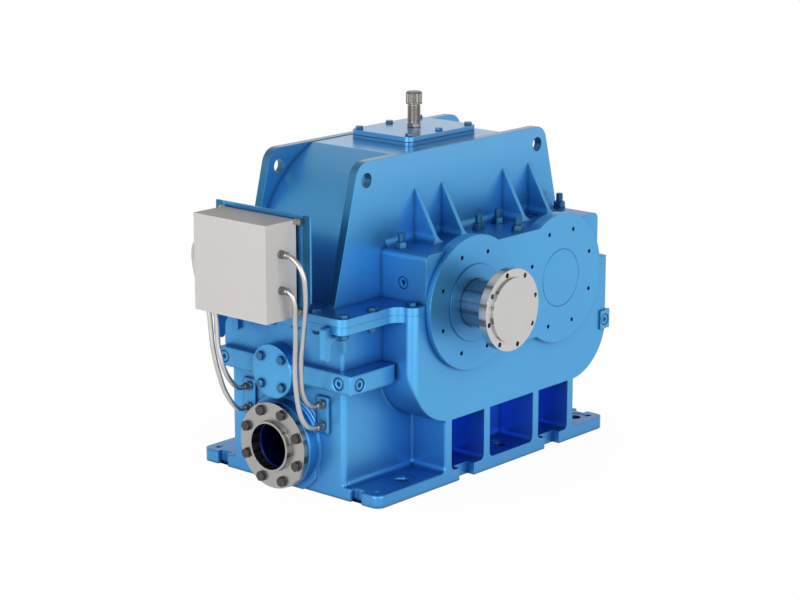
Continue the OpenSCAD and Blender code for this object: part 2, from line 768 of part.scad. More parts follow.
module box_glands() {
  color(steel) for (z = box_gland_zs) {
    translate([box_gland_x, -box_w / 2, z]) rotate([0, 0, 90]) gland();
    translate([box_gland_x, box_w / 2, z]) rotate([0, 0, -90]) gland();
  }
}

// A tube is swept along its route with a frame that is carried from ring to ring.
function unit(v) = v / norm(v);
function tangent(p, i) = unit(p[min(i + 1, len(p) - 1)] - p[max(i - 1, 0)]);
function square_to(v, t) = unit(v - (v * t) * t);
function side_of(p, i) = square_to(i == 0 ? [0, 0.3, 1] : side_of(p, i - 1), tangent(p, i));
function ring_at(p, i, r, n) = let (t = tangent(p, i), s = side_of(p, i), u = cross(t, s))
  [for (k = [0 : n - 1]) p[i] + r * (cos(k * 360 / n) * s + sin(k * 360 / n) * u)];

module tube(p, r) {
  n = 10;
  m = len(p);
  points = [for (i = [0 : m - 1]) each ring_at(p, i, r, n)];
  start = [for (k = [0 : n - 1]) k];
  end = [for (k = [n - 1 : -1 : 0]) (m - 1) * n + k];
  sides = [for (i = [0 : m - 2]) for (k = [0 : n - 1])
    [i * n + k, (i + 1) * n + k, (i + 1) * n + (k + 1) % n, i * n + (k + 1) % n]];
  polyhedron(points, concat([start, end], sides));
}

module conduit_a() {
  color(steel) tube(route_a, conduit_r);
}

module conduit_b() {
  color(steel) tube(route_b, conduit_r);
}

module conduit_c() {
  color(steel) tube(route_c, conduit_r);
}

module conduit_d() {
  color(steel) tube(route_d, conduit_r);
}

// A hexagon-socket plug with its face at the origin, seated along -Z.
module plug(r, l) {
  difference() {
    translate([0, 0, -l]) cylinder(h = l, r = r);
    translate([0, 0, -7]) cylinder(h = 8, r = r * 0.42, $fn = 6);
  }
}

module gallery_plugs() {
  color(blue) {
    for (y = plug_ys) translate([1 - belt_x, y, belt_z0 + 30]) rotate([0, -90, 0]) plug(20, 14);
    translate([40.5 - belt_x, 1 - belt_y, belt_z0 + 29]) rotate([90, 0, 0]) plug(20, 14);
    front_and_rear() {
      translate([half_l - 15, -half_w - 5, belt_z0 + 25]) rotate([90, 0, 0]) plug(20, 14);
      translate([shelf_x0 + 1, -300, shaft_z + 86]) rotate([0, -90, 0]) plug(20, 14);
      translate([shelf_plug[0], shelf_plug[1], shelf_z - 1]) plug(24, 10);
    }
  }
}

module spray_pipe() {
  color(steel) {
    ycyl(spray_x, spray_z, -plate_y0, plate_y0, 11);
    for (y = [-120, -40, 40, 120]) translate([spray_x, y, spray_z - 29]) cylinder(h = 29, r = 6);
  }
}

// Involute spur gear with a 20 degree pressure angle, its first tooth along +X.
function involute(a) = tan(a) * 180 / PI - a;
function half_tooth(n, rp, r) = let (rb = rp * cos(20))
  90 / n + involute(20) - involute(acos(rb / max(r, rb))) - 0.16 / rp * 180 / PI;

module gear_2d(n) {
  rp = n * gear_m / 2;
  rs = [rp - 1.25 * gear_m, rp - 0.5 * gear_m, rp + 0.2 * gear_m, rp + tip_h];
  up = [for (r = rs) [r, half_tooth(n, rp, r)]];
  down = [for (k = [3 : -1 : 0]) [rs[k], -half_tooth(n, rp, rs[k])]];
  polygon([for (i = [0 : n - 1]) for (q = concat([for (k = [0 : 3]) [up[k][0], -up[k][1]]],
    [for (k = [3 : -1 : 0]) up[k]])) let (a = i * 360 / n + q[1]) [q[0] * cos(a), q[0] * sin(a)]]);
}

module gear_wheel() {
  color(steel) difference() {
    xz(-face_w / 2, face_w / 2) translate([wheel_x, shaft_z]) gear_2d(wheel_teeth);
    ycyl(wheel_x, shaft_z, -200, 200, wheel_hub_r + fit);
    front_and_rear() difference() {
      ycyl(wheel_x, shaft_z, -160, -40, 296);
      ycyl(wheel_x, shaft_z, -170, -30, 150);
    }
    ring_y(wheel_x, shaft_z, 222, 6, 0) ycyl(0, 0, -100, 100, 42);
  }
}

module wheel_shaft() {
  color(steel) {
    ycyl(wheel_x, shaft_z, flange_y1, half_w - 12, wheel_shaft_r);
    ycyl(wheel_x, shaft_z, -wall_y - 18, wall_y + 18, wheel_shaft_r + 14);
    ycyl(wheel_x, shaft_z, -170, 170, wheel_hub_r);
  }
}

module coupling_flange() {
  color(steel) difference() {
    ycyl(wheel_x, shaft_z, flange_y0, flange_y1, flange_r);
    ring_y(wheel_x, shaft_z, flange_bc, 8, 22.5 + flange_turn) {
      ycyl(0, 0, flange_y0 - 10, flange_y1 + 10, flange_hole_r);
    }
    ring_y(wheel_x, shaft_z, end_plate_bc, 8, flange_turn) ycyl(0, 0, flange_y0 - 10, flange_y1 + 10, 5.5);
  }
}

module flange_end_plate() {
  color(steel) difference() {
    ycyl(wheel_x, shaft_z, flange_y0 - 8, flange_y0, flange_bc - 14);
    ring_y(wheel_x, shaft_z, end_plate_bc, 8, flange_turn) ycyl(0, 0, flange_y0 - 6, flange_y1, 5 + fit);
  }
}

module flange_screws() {
  color(dark) ring_y(wheel_x, shaft_z, end_plate_bc, 8, flange_turn) {
    translate([0, flange_y1, 0]) rotate([-90, 0, 0]) hex_bolt(5, 35, 7, 17);
  }
}

module pinion_shaft() {
  color(steel) {
    xz(-face_w / 2 - 4, face_w / 2 + 4) translate([pinion_x, shaft_z]) {
      rotate(180 + 180 / pinion_teeth) gear_2d(pinion_teeth);
    }
    ycyl(pinion_x, shaft_z, -wall_y - 18, wall_y + 18, pinion_shaft_r + 14);
    ycyl(pinion_x, shaft_z, 12 - half_w, half_w - 10, pinion_shaft_r);
    ycyl(pinion_x, shaft_z, half_w - 16, face_y + 6, seal_journal_r);
    ycyl(pinion_x, shaft_z, face_y, face_y + drive_end_l, drive_end_r);
  }
}

lower_casing();
upper_casing();
joint_bolts();
bearing_studs();
dowel_pins();
hatch_cover();
hatch_gasket();
hatch_bolts();
breather_body();
breather_cap();
wheel_cover_front();
wheel_seal_ring();
pinion_cover_front();
wheel_cover_rear();
pinion_cover_rear();
pinion_seal_ring();
bearing_cover_screws();
wheel_bearing_front();
wheel_bearing_rear();
pinion_bearing_front();
pinion_bearing_rear();
outlet_flange();
outlet_bolts();
port_cover();
port_bolts();
gland_plates();
casing_glands();
bracket_plate();
bracket_bolts();
terminal_base();
terminal_hood();
terminal_rail();
terminal_screws();
box_glands();
conduit_a();
conduit_b();
conduit_c();
conduit_d();
gallery_plugs();
spray_pipe();
wheel_shaft();
gear_wheel();
coupling_flange();
flange_end_plate();
flange_screws();
pinion_shaft();
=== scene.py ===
import math

import bmesh
import bpy
from mathutils import Matrix, Vector


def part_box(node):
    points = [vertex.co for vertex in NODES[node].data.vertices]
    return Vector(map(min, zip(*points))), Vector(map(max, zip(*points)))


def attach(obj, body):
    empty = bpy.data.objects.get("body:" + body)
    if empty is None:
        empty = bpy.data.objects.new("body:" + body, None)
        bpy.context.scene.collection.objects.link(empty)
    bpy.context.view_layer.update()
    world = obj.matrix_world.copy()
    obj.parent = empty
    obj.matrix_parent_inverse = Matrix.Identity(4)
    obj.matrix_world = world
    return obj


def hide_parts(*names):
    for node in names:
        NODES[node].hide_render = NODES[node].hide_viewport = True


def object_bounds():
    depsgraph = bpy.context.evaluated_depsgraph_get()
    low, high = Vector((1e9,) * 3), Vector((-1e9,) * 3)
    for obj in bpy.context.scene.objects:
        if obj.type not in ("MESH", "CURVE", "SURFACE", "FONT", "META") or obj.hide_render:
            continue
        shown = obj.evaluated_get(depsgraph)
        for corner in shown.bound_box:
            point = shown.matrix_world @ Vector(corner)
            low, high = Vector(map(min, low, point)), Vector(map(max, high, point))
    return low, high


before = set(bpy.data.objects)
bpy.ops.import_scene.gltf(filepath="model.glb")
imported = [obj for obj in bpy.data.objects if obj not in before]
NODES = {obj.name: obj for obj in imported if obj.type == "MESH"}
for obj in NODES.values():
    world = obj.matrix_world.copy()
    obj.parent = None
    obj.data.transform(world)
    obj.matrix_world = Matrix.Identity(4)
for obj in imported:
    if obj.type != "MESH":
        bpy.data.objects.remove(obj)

MM = 0.001
CAD_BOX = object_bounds()
X = Vector((1, 0, 0))
Y = Vector((0, 1, 0))
Z = Vector((0, 0, 1))

# Camera at the photograph's viewing angle.
VIEW_AZIMUTH = -48.78
VIEW_ELEVATION = 13.93
VIEW_DISTANCE = 7.86932
VIEW_TARGET = Vector((-0.00795, 0.02874, 0.50227))
LENS = 104.28

# Linear colours of the finishes.
BLUE = (0.086, 0.395, 0.730)
WORN_BLUE = (0.060, 0.320, 0.660)
# The next four colours are painted shade: a deep blue for enclosed places and low tops, a saturated blue for
# the bays between the ribs, dark teal over edges and plate rims, and near black in crevices.
SHADE_BLUE = (0.010, 0.110, 0.400)
BAY_SHADE_BLUE = (0.035, 0.190, 0.850)
EDGE_SHADE_TEAL = (0.010, 0.120, 0.250)
CREVICE_SHADE_BLUE = (0.003, 0.040, 0.120)
BOX_GREY = (0.600, 0.580, 0.560)
PAINT_METAL = 0.80
STEEL = (0.600, 0.595, 0.585)
SHAFT_STEEL = (0.320, 0.350, 0.385)
OUTLET_STEEL = (0.400, 0.395, 0.385)
BLACK_STEEL = (0.085, 0.082, 0.080)
BRASS = (0.480, 0.400, 0.270)
BRONZE = (0.500, 0.360, 0.160)
RUBBER = (0.020, 0.020, 0.022)

# Limits, in metres, of the places where the blue paint gets painted shade, a broader corner rounding of its
# shading and a thicker coat.
BAY_BACK = 0.249
BAY_START = -0.25
BAY_FLOOR = 0.048
BAY_TOP = 0.213
RIB_FRONT = 0.31
PLATE_INNER = 0.1745
PLATE_OUTER = 0.2075
PLATE_FOOT = 0.63
OUTLET_BORE = 0.0765
OUTLET_HEIGHT = 0.147
OUTLET_INSIDE = -0.4
TOP_LIMIT = 0.79
JOINT_BOTTOM = 0.55
JOINT_TOP = 0.66
CORNER_CENTRE = (-0.235, 0.410)
CORNER_RADIUS = 0.172
CORNER_SIDE = -0.262
CORNER_LEVEL = 0.430
COWL_FOOT = 0.62
COAT_START = 0.95

# The part of the floor that the base plate stands on, which is painted dark as shade.
FOOTPRINT = (0.585, 0.3675)

# Routes of the four conduits, from the terminal box to the end wall, in metres.
ROUTES = {
    "conduit_a": [
        (-0.776, -0.171, 0.820), (-0.776, -0.186, 0.820), (-0.775, -0.208, 0.813), (-0.770, -0.231, 0.790),
        (-0.764, -0.243, 0.755), (-0.758, -0.242, 0.720), (-0.750, -0.236, 0.675), (-0.743, -0.226, 0.630),
        (-0.736, -0.214, 0.582), (-0.730, -0.202, 0.530), (-0.723, -0.189, 0.480), (-0.712, -0.178, 0.425),
        (-0.700, -0.169, 0.372), (-0.678, -0.165, 0.330), (-0.652, -0.163, 0.307), (-0.632, -0.163, 0.304),
        (-0.617, -0.163, 0.304)],
    "conduit_b": [
        (-0.776, -0.171, 0.706), (-0.776, -0.188, 0.706), (-0.773, -0.202, 0.693), (-0.767, -0.207, 0.662),
        (-0.759, -0.200, 0.615), (-0.750, -0.193, 0.567), (-0.741, -0.183, 0.520), (-0.733, -0.173, 0.476),
        (-0.727, -0.166, 0.425), (-0.720, -0.163, 0.374), (-0.710, -0.161, 0.325), (-0.698, -0.162, 0.284),
        (-0.676, -0.163, 0.250), (-0.652, -0.163, 0.235), (-0.632, -0.163, 0.232), (-0.617, -0.163, 0.232)],
    "conduit_c": [
        (-0.776, 0.171, 0.820), (-0.776, 0.186, 0.820), (-0.775, 0.208, 0.812), (-0.772, 0.228, 0.788),
        (-0.768, 0.236, 0.752), (-0.763, 0.234, 0.708), (-0.757, 0.224, 0.660), (-0.750, 0.208, 0.615),
        (-0.745, 0.196, 0.572), (-0.742, 0.193, 0.520), (-0.739, 0.190, 0.465), (-0.734, 0.187, 0.430),
        (-0.729, 0.184, 0.398), (-0.718, 0.179, 0.352), (-0.704, 0.174, 0.308), (-0.684, 0.166, 0.268),
        (-0.656, 0.163, 0.238), (-0.632, 0.163, 0.232), (-0.617, 0.163, 0.232)],
    "conduit_d": [
        (-0.776, 0.171, 0.706), (-0.776, 0.188, 0.706), (-0.773, 0.200, 0.692), (-0.764, 0.202, 0.658),
        (-0.753, 0.190, 0.622), (-0.741, 0.180, 0.588), (-0.735, 0.174, 0.560), (-0.733, 0.172, 0.515),
        (-0.732, 0.171, 0.467), (-0.729, 0.166, 0.435), (-0.724, 0.161, 0.403), (-0.712, 0.158, 0.370),
        (-0.694, 0.158, 0.343), (-0.668, 0.160, 0.316), (-0.650, 0.162, 0.306), (-0.632, 0.163, 0.304),
        (-0.617, 0.163, 0.304)],
}
CONDUIT_RADIUS = 8.5 * MM
CONDUIT_ROOT = 8.0 * MM
CONDUIT_PITCH = 4.6 * MM


def add_camera():
    azimuth = math.radians(VIEW_AZIMUTH)
    elevation = math.radians(VIEW_ELEVATION)
    level = math.cos(elevation)
    back = Vector((math.sin(azimuth) * level, -math.cos(azimuth) * level, math.sin(elevation)))
    lens = bpy.data.cameras.new("view")
    lens.lens = LENS
    lens.sensor_width = 36
    camera = bpy.data.objects.new("view", lens)
    bpy.context.scene.collection.objects.link(camera)
    camera.location = VIEW_TARGET + back * VIEW_DISTANCE
    camera.rotation_mode = "QUATERNION"
    camera.rotation_quaternion = (-back).to_track_quat("-Z", "Y")
    bpy.context.scene.camera = camera


class Value:
    """A socket of a finish, which Python's operators join with maths nodes."""

    def __init__(self, finish, socket):
        self.finish = finish
        self.socket = socket

    def maths(self, operation, first, second):
        return self.finish.node("Math", {"operation": operation}, {0: first, 1: second})

    def __add__(self, other):
        return self.maths("ADD", self, other)

    def __radd__(self, other):
        return self.maths("ADD", other, self)

    def __sub__(self, other):
        return self.maths("SUBTRACT", self, other)

    def __rsub__(self, other):
        return self.maths("SUBTRACT", other, self)

    def __mul__(self, other):
        return self.maths("MULTIPLY", self, other)

    def __rmul__(self, other):
        return self.maths("MULTIPLY", other, self)

    def __truediv__(self, other):
        return self.maths("DIVIDE", self, other)

    def __pow__(self, other):
        return self.maths("POWER", self, other)

    def over(self, limit):
        return self.maths("GREATER_THAN", self, limit)

    def under(self, limit):
        return self.maths("LESS_THAN", self, limit)

    def below(self, limit):
        return self.maths("MINIMUM", self, limit)

    def above(self, limit):
        return self.maths("MAXIMUM", self, limit)

    def clamped(self):
        return self.above(0.0).below(1.0)

    def beyond(self, limit):
        """1 where the value lies further from 0 than limit."""
        return (self * self).over(limit ** 2)

    def within(self, limit):
        return (self * self).under(limit ** 2)


class Finish:
    """One procedural finish and the nodes that it is made of."""

    def __init__(self, owner):
        self.owner = owner
        owner.use_nodes = True
        self.tree = owner.node_tree
        self.tree.nodes.clear()

    def node(self, kind, settings=None, sockets=None, output=0):
        made = self.tree.nodes.new("ShaderNode" + kind)
        for key, value in (settings or {}).items():
            if key == "stops":
                self.set_stops(made.color_ramp.elements, value)
            else:
                setattr(made, key, value)
        for key, value in (sockets or {}).items():
            if isinstance(value, Value):
                self.tree.links.new(value.socket, made.inputs[key])
            else:
                made.inputs[key].default_value = value
        return Value(self, made.outputs[output]) if made.outputs else None

    def set_stops(self, elements, stops):
        while len(elements) < len(stops):
            elements.new(1)
        for element, (place, level) in zip(elements, stops):
            element.position = place
            element.color = (level, level, level, 1)

    def place(self):
        return self.node("TexCoord", output="Object")

    def axes(self, vector):
        """The three parts of a vector, each as a value."""
        outputs = self.node("SeparateXYZ", None, {"Vector": vector}).socket.node.outputs
        return [Value(self, outputs[axis]) for axis in "XYZ"]

    def noise(self, scale, detail=3.0, roughness=0.5):
        return self.node("TexNoise", None,
                         {"Vector": self.place(), "Scale": scale, "Detail": detail, "Roughness": roughness})

    def mix(self, share, first, second):
        """Mixes two colours. Each is a linear colour or a socket."""
        first = first if isinstance(first, Value) else (*first, 1)
        second = second if isinstance(second, Value) else (*second, 1)
        return self.node("Mix", {"data_type": "RGBA"}, {0: share, 6: first, 7: second}, 2)

    def surface(self, colour, roughness, sockets):
        colour = colour if isinstance(colour, Value) else (*colour, 1)
        shader = self.node("BsdfPrincipled", None, {"Base Color": colour, "Roughness": roughness, **sockets})
        self.node("OutputMaterial", None, {"Surface": shader})
        return self.owner


def new_finish(name):
    return Finish(bpy.data.materials.new(name))


def scaled(colour, tone):
    return tuple(channel * tone for channel in colour)


def edge_share(finish, soft_normal, gain):
    """Rises from 0 on a flat face to 1 where the surface turns over an edge."""
    flat_normal = finish.node("NewGeometry", output="Normal")
    sockets = {0: soft_normal, 1: flat_normal}
    facing = finish.node("VectorMath", {"operation": "DOT_PRODUCT"}, sockets, "Value")
    return ((1 - facing) * gain).clamped()


def bumped_normal(finish, strength, distance, height, normal):
    return finish.node("Bump", None, {
        "Strength": strength, "Distance": distance, "Height": height, "Normal": normal})


# A tone below 1 gives a darker copy of the paint, which the bolts use as painted shade.
def blue_paint(name, tone=1.0):
    """Glossy, partly metallic machine paint with painted shade: it deepens in corners, bays, low tops and the
    outlet bore, and darkens to teal over edges and plate rims.
    """
    finish = new_finish(name)
    x, y, z = finish.axes(finish.place())
    _, facing_y, facing_z = finish.axes(finish.node("NewGeometry", output="Normal"))
    facing_out = facing_y * facing_y
    fine = finish.node("Bevel", {"samples": 4}, {"Radius": 3 * MM})
    broad = finish.node("Bevel", {"samples": 8}, {"Radius": 16 * MM})
    edge = edge_share(finish, fine, 5.0)
    openness = finish.node("AmbientOcclusion", {"samples": 8}, {"Distance": 0.25}, "AO")
    crevice_shade = 1 - finish.node("AmbientOcclusion", {"samples": 6}, {"Distance": 14 * MM}, "AO")

    # Painted shade in the bays between the ribs, without the ribs' own front faces.
    bay_shade = y.beyond(BAY_BACK) * x.over(BAY_START) * z.over(BAY_FLOOR) * ((BAY_TOP - z) * 20).clamped()
    bay_shade = bay_shade * (1 - y.beyond(RIB_FRONT) * facing_out.over(0.5))
    # Painted shade on the rims of the lifting plates.
    rim = y.beyond(PLATE_INNER) * y.within(PLATE_OUTER) * z.over(PLATE_FOOT) * facing_out.under(0.5)
    # Painted shade inside the oil outlet's bore.
    bore = (y * y + (z - OUTLET_HEIGHT) ** 2).under(OUTLET_BORE ** 2) * x.under(OUTLET_INSIDE)
    # Painted shade on flat tops below the roof, most of all the split flange's.
    low_top_shade = facing_z.over(0.7) * z.under(TOP_LIMIT)
    joint_top_shade = low_top_shade * z.over(JOINT_BOTTOM) * z.under(JOINT_TOP)
    # The rounded lower corners of the bearing housings.
    corner_x = x - CORNER_CENTRE[0]
    corner_z = z - CORNER_CENTRE[1]
    corner = (corner_x * corner_x + corner_z * corner_z).over(CORNER_RADIUS ** 2)
    corner = corner * x.under(CORNER_SIDE) * z.under(CORNER_LEVEL)

    clouds = finish.noise(2.2, 4.0)
    dust = finish.noise(60.0, 5.0, 0.65)
    colour = finish.mix(clouds * 0.5, scaled(BLUE, tone), scaled(WORN_BLUE, tone))
    # Painted shade: a deeper blue where ambient occlusion finds the surface enclosed, less of it above the
    # cowl's foot.
    colour = finish.mix((1 - openness) * (0.9 - z.over(COWL_FOOT) * 0.3), colour, scaled(SHADE_BLUE, tone))
    colour = finish.mix(low_top_shade * 0.4 + joint_top_shade * 0.3, colour, scaled(SHADE_BLUE, tone))
    colour = finish.mix(bay_shade * 0.7, colour, BAY_SHADE_BLUE)
    # Painted shade: dark teal over edges and on the plate rims.
    colour = finish.mix((edge * 0.65).above(rim * 0.85), colour, EDGE_SHADE_TEAL)
    # Painted shade in crevices, from the short-range occlusion.
    colour = finish.mix(crevice_shade * 0.8, colour, CREVICE_SHADE_BLUE)
    # Painted shade: near black blue in the outlet bore.
    colour = finish.mix(bore, colour, (0.002, 0.006, 0.120))
    height = finish.noise(260.0, 2.0) * 0.35 + finish.noise(38.0, 2.0)
    soft = finish.node("Mix", {"data_type": "VECTOR"}, {0: corner, 4: fine, 5: broad}, 1)
    bumped = bumped_normal(finish, 0.12, 0.5 * MM, height, soft)
    coat = ((z - COAT_START) * 6).above(0.0).below(0.5) + 0.12
    return finish.surface(colour, 0.33 + dust * 0.08, {
        "Metallic": PAINT_METAL, "Normal": bumped, "Coat Weight": coat, "Coat Roughness": 0.15})


def box_paint():
    """Pale grey powder coat of the terminal box, with its fine texture and with painted shade over its edges
    and on its top. The box's lugs are plated.
    """
    finish = new_finish("grey_powder_coat")
    soft = finish.node("Bevel", {"samples": 4}, {"Radius": 1.5 * MM})
    speckle = finish.noise(900.0, 2.0)
    clouds = finish.noise(4.0, 3.0)
    colour = finish.mix(clouds * 0.3, BOX_GREY, (0.560, 0.545, 0.530))
    spotted = finish.mix(speckle * 0.12, colour, (0.420, 0.410, 0.400))
    # Painted shade: the edges darken.
    edge = finish.mix(edge_share(finish, soft, 3.0) * 0.5, spotted, (0.300, 0.285, 0.270))
    _, y, _ = finish.axes(finish.place())
    lug = y.beyond(BOX_HALF + 0.5 * MM)
    # Painted shade on the box's top, mixed in below.
    top = finish.axes(finish.node("NewGeometry", output="Normal"))[2].over(0.7)
    plated = finish.mix(lug, finish.mix(top * 0.5, edge, (0.300, 0.290, 0.280)), BRASS)
    bumped = bumped_normal(finish, 0.18, 0.2 * MM, speckle, soft)
    return finish.surface(plated, 0.36 + clouds * 0.12,
                          {"Metallic": lug, "Normal": bumped, "Specular IOR Level": 0.45})


def turned_steel(name, colour, centre, along, roughness, reflection_banding=0.0):
    """Lathe-turned steel with fine rings about an axis through centre, along X or along Y.

    Its round sides have darker bands along the axis, a painted reflection, and its edges are darkened as
    painted shade. How dark the bands are is given by the last argument.
    """
    finish = new_finish(name)
    x, y, z = finish.axes(finish.place())
    across, depth = (x - centre.x, y) if along == "Y" else (y - centre.y, x)
    up = z - centre.z
    radius = (across * across + up * up) ** 0.5
    rings = finish.node("TexNoise", {"noise_dimensions": "1D"},
                        {"W": radius * 1400.0 + depth * 900.0, "Scale": 1.0, "Detail": 2.0})
    smudge = finish.noise(14.0, 5.0, 0.6)
    soft = finish.node("Bevel", {"samples": 4}, {"Radius": 0.8 * MM})
    tint = finish.mix(smudge * 0.5, colour, scaled(colour, 0.82))
    # Painted shade: the edges darken.
    tint = finish.mix(edge_share(finish, soft, 4.0) * 0.7, tint, scaled(colour, 0.25))
    # Painted reflection: dark bands set by the angle around the round sides.
    if reflection_banding:
        facing = finish.axes(finish.node("NewGeometry", output="Normal"))["XY".index(along)]
        round_side = (facing * facing).under(0.5)
        around = finish.node("CombineXYZ", None, {"X": across / radius, "Y": up / radius})
        bands = finish.node("TexNoise", {"noise_dimensions": "2D"},
                            {"Vector": around, "Scale": 3.2, "Detail": 1.0})
        dark = ((bands - 0.47) * 9).clamped() * round_side * reflection_banding
        tint = finish.mix(dark, tint, scaled(colour, 0.12))
    bumped = bumped_normal(finish, 0.22, 0.05 * MM, rings, soft)
    return finish.surface(tint, roughness + rings * 0.10 + smudge * 0.08, {"Metallic": 1.0, "Normal": bumped})


def plain_metal(name, colour, roughness, grain_scale, edge_colour=None):
    """Metal with a fine grain, and, when an edge colour is given, that colour on its edges."""
    finish = new_finish(name)
    soft = finish.node("Bevel", {"samples": 4}, {"Radius": 0.6 * MM})
    grain = finish.noise(grain_scale, 4.0, 0.6)
    tint = finish.mix(grain * 0.5, colour, scaled(colour, 0.7))
    if edge_colour:
        tint = finish.mix(edge_share(finish, soft, 3.0) * 0.6, tint, edge_colour)
    bumped = bumped_normal(finish, 0.15, 0.1 * MM, grain, soft)
    return finish.surface(tint, roughness + grain * 0.12, {"Metallic": 1.0, "Normal": bumped})


def soft_black():
    finish = new_finish("black_rubber")
    grain = finish.noise(300.0, 3.0)
    tint = finish.mix(grain, RUBBER, (0.045, 0.045, 0.048))
    return finish.surface(tint, 0.7 + grain * 0.1, {"Specular IOR Level": 0.3})


def island_boxes(name):
    """The lowest and highest corners of each separate solid of a CAD node."""
    part = cad_copy(name)
    seen = set()
    boxes = []
    for start in part.verts:
        if start in seen:
            continue
        seen.add(start)
        front = [start]
        island = []
        while front:
            vert = front.pop()
            island.append(vert.co)
            for edge in vert.link_edges:
                other = edge.other_vert(vert)
                if other not in seen:
                    seen.add(other)
                    front.append(other)
        lo = Vector(min(c[i] for c in island) for i in range(3))
        hi = Vector(max(c[i] for c in island) for i in range(3))
        boxes.append((lo, hi))
    part.free()
    return sorted(boxes, key=lambda box: tuple(box[0]))


def cad_copy(name):
    part = bmesh.new()
    part.from_mesh(NODES[name].data)
    bmesh.ops.remove_doubles(part, verts=part.verts, dist=1e-5)
    return part


def seal(part):
    bmesh.ops.remove_doubles(part, verts=part.verts, dist=1e-6)
    bmesh.ops.recalc_face_normals(part, faces=part.faces)
    return part


def round_edges(part, width, segments=2, angle=30.0):
    sharp = [e for e in part.edges if len(e.link_faces) == 2 and e.calc_face_angle() > math.radians(angle)]
    bmesh.ops.bevel(part, geom=sharp, offset=width, offset_type="OFFSET", affect="EDGES", segments=segments,
                    profile=0.5, clamp_overlap=True, material=-1)
    return part


def add_part(whole, part, matrix=None, keep=False):
    """Adds a copy of a part to a bmesh, moved by a matrix."""
    mesh = bpy.data.meshes.new("part")
    part.to_mesh(mesh)
    if matrix is not None:
        mesh.transform(matrix)
    whole.from_mesh(mesh)
    bpy.data.meshes.remove(mesh)
    if not keep:
        part.free()


def spun(profile, centre, axis, steps=64):
    """A closed profile of (along, radius) points, turned about an axis through centre."""
    part = bmesh.new()
    side = axis.orthogonal().normalized()
    ring = [part.verts.new(centre + axis * along + side * radius) for along, radius in profile]
    edges = [part.edges.new(pair) for pair in zip(ring, ring[1:] + ring[:1])]
    bmesh.ops.spin(part, geom=ring + edges, cent=centre, axis=axis, angle=math.tau, steps=steps,
                   use_merge=True)
    loose = [e for e in part.edges if not e.link_faces]
    bmesh.ops.delete(part, geom=loose, context="EDGES")
    return seal(part)


def disc_profile(start, end, radius, chamfer):
    """Closed profile of a solid disc with both rims broken."""
    return [(start, 0), (start, radius - chamfer), (start + chamfer, radius),
            (end - chamfer, radius), (end, radius - chamfer), (end, 0)]


def ring_profile(start, end, inner, outer, chamfer):
    return [(start, inner), (start, outer - chamfer), (start + chamfer, outer),
            (end - chamfer, outer), (end, outer - chamfer), (end, inner)]


def hexagon(across, height, both_ends=False):
    """A hexagon head on the origin, its corners cut by the usual 30 degree chamfer."""
    part = bmesh.new()
    radius = across / 2 / math.cos(math.radians(30))
    bmesh.ops.create_cone(part, cap_ends=True, segments=6, radius1=radius, radius2=radius, depth=height,
                          matrix=Matrix.Translation((0, 0, height / 2)))
    tilt = math.radians(30)
    for level, up in ((height, 1), (0, -1)) if both_ends else ((height, 1),):
        for k in range(24):
            turn = k * math.tau / 24
            out = Vector((math.cos(turn), math.sin(turn), 0))
            cut = bmesh.ops.bisect_plane(
                part, geom=part.verts[:] + part.edges[:] + part.faces[:],
                plane_co=out * across * 0.475 + Z * level,
                plane_no=out * math.sin(tilt) + Z * up * math.cos(tilt), clear_outer=True)
            rim = [e for e in cut["geom_cut"] if isinstance(e, bmesh.types.BMEdge)]
            if len(rim) > 2:
                bmesh.ops.contextual_create(part, geom=rim)
    return seal(part)


def threaded_end(radius, start, end, pitch):
    """Profile of a thread's end from start to end, with a chamfered tip."""
    points = [(start, 0), (start, radius)]
    along = start
    while along + pitch < end - pitch:
        points += [(along + pitch / 2, radius - pitch * 0.4), (along + pitch, radius)]
        along += pitch
    return points + [(end, radius - pitch), (end, 0)]


def aim(place, axis, turn=0.0):
    """A matrix that takes a part drawn along +Z to place, pointing along axis."""
    tilt = axis.to_track_quat("Z", "Y").to_matrix().to_4x4()
    return Matrix.Translation(place) @ tilt @ Matrix.Rotation(turn, 4, "Z")


def show(name, part, finish, body="casing", replaces=(), sharp=32.0):
    """Makes a piece of the scene from a bmesh and lets it ride on a body."""
    mesh = bpy.data.meshes.new(name)
    part.to_mesh(mesh)
    part.free()
    mesh.materials.append(finish)
    mesh.shade_smooth()
    mesh.set_sharp_from_angle(angle=math.radians(sharp))
    piece = bpy.data.objects.new(name, mesh)
    bpy.context.scene.collection.objects.link(piece)
    flatten = piece.modifiers.new("flat faces", "WEIGHTED_NORMAL")
    flatten.keep_sharp = True
    flatten.weight = 80
    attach(piece, body)
    if replaces:
        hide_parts(*replaces)
    return piece


def smooth_route(points, step):
    """Points at even steps along a smooth curve through a route."""
    ends = [points[0] * 2 - points[1], *points, points[-1] * 2 - points[-2]]
    fine = []
    for a, b, c, d in zip(ends, ends[1:], ends[2:], ends[3:]):
        for k in range(16):
            t = k / 16
            fine.append(0.5 * (2 * b + (c - a) * t + (2 * a - 5 * b + 4 * c - d) * t * t
                               + (3 * b - 3 * c + d - a) * t ** 3))
    fine.append(points[-1])
    lengths = [0.0]
    for a, b in zip(fine, fine[1:]):
        lengths.append(lengths[-1] + (b - a).length)
    count = round(lengths[-1] / step)
    even = []
    k = 0
    for i in range(count + 1):
        target = lengths[-1] * i / count
        while k < len(fine) - 2 and lengths[k + 1] < target:
            k += 1
        share = (target - lengths[k]) / (lengths[k + 1] - lengths[k])
        even.append(fine[k].lerp(fine[k + 1], min(share, 1.0)))
    return even


